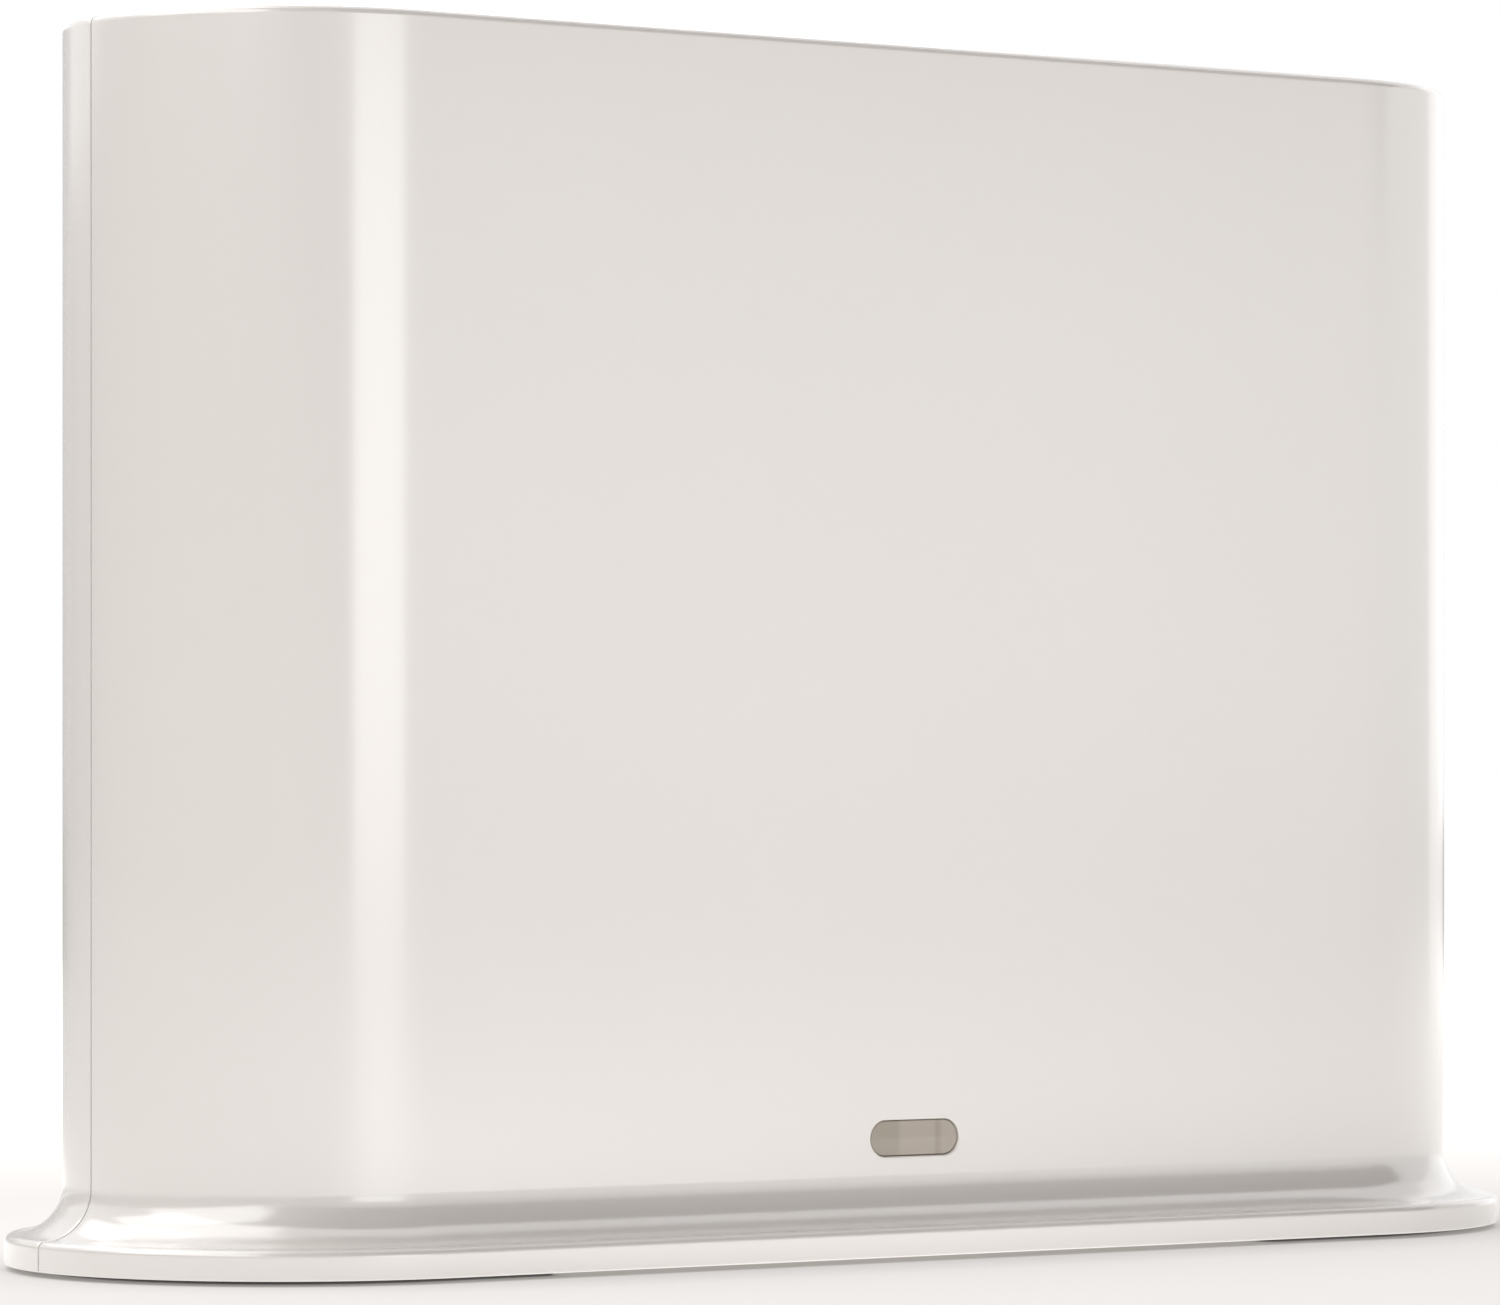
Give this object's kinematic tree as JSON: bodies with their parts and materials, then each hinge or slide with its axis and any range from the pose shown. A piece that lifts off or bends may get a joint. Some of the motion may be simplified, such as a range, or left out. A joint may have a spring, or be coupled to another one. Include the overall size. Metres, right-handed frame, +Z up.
{
  "type": "security camera base station",
  "caption": "Upright stadium-shaped network hub for wireless cameras on a flared foot, with a front status light, rear sockets, buttons, siren grille and keyholes.",
  "frame": {"origin": "on the table under the middle of the foot", "axes": "+Z up, +X along the width, front towards -Y"},
  "size_m": [0.1744, 0.0596, 0.1234],
  "materials": {
    "shell_white": "high gloss moulded, warm white",
    "base_white": "fine moulded texture",
    "foot_rubber": "dull moulded",
    "screw_steel": "zinc plated",
    "lens_smoke": "smoky translucent",
    "clear_acrylic": "clear polished",
    "black_plastic": "fine moulded",
    "led_resin": "cast resin",
    "board_green": "solder mask",
    "chip_black": "moulded epoxy",
    "thermal_pad": "soft silicone",
    "shield_tin": "tin plated",
    "sink_aluminium": "anodised",
    "can_aluminium": "drawn can",
    "socket_grey": "fine moulded",
    "contact_gold": "gold plated",
    "button_white": "gloss moulded",
    "ivory_plastic": "moulded nylon",
    "gasket_foam": "closed cell foam",
    "bracket_plastic": "moulded",
    "wire_red": "insulated wire",
    "antenna_film": "polyimide film on copper",
    "coax_grey": "thin jacket"
  },
  "bodies": {
    "hub": {"front_shell": "shell_white", "rear_shell": "shell_white", "base_plate": "base_white", "foot_pads": "foot_rubber", "base_screws": "screw_steel", "board_screws": "screw_steel", "heat_sink_screws": "screw_steel", "siren_screws": "screw_steel", "status_lens": "lens_smoke", "light_guide": "clear_acrylic", "light_shroud": "black_plastic", "power_inlet": "black_plastic", "usb_tongue": "black_plastic", "siren_driver": "black_plastic", "status_led": "led_resin", "main_board": "board_green", "processor": "chip_black", "memory_chips": "chip_black", "radio_chip": "chip_black", "power_inductor": "chip_black", "ethernet_transformer": "chip_black", "processor_pad": "thermal_pad", "heat_sink_pad": "thermal_pad", "processor_shield": "shield_tin", "radio_shield": "shield_tin", "usb_shell": "shield_tin", "inlet_pin": "shield_tin", "heat_sink": "sink_aluminium", "capacitors": "can_aluminium", "ethernet_jack": "socket_grey", "power_switch": "socket_grey", "sync_switch": "socket_grey", "reset_switch": "socket_grey", "ethernet_contacts": "contact_gold", "usb_contacts": "contact_gold", "antenna_sockets": "contact_gold", "siren_socket": "ivory_plastic", "siren_gasket": "gasket_foam", "siren_bracket": "bracket_plastic", "siren_lead": "wire_red", "antenna_left": "antenna_film", "antenna_right": "antenna_film", "antenna_lead_left": "coax_grey", "antenna_lead_right": "coax_grey"},
    "power_button": {"power_button": "button_white", "power_plunger": "ivory_plastic"},
    "sync_button": {"sync_button": "button_white", "sync_plunger": "ivory_plastic"},
    "reset_plunger": {"reset_plunger": "ivory_plastic"}
  },
  "joints": [
    {"name": "power_press", "type": "slide", "parent": "hub", "child": "power_button", "axis": [0, -1, 0], "range_m": [0, 0.002], "stiffness_N_per_m": 800},
    {"name": "sync_press", "type": "slide", "parent": "hub", "child": "sync_button", "axis": [0, -1, 0], "range_m": [0, 0.0004], "stiffness_N_per_m": 1500},
    {"name": "reset_press", "type": "slide", "parent": "hub", "child": "reset_plunger", "axis": [0, -1, 0], "range_m": [0, 0.0003], "stiffness_N_per_m": 1500}
  ]
}
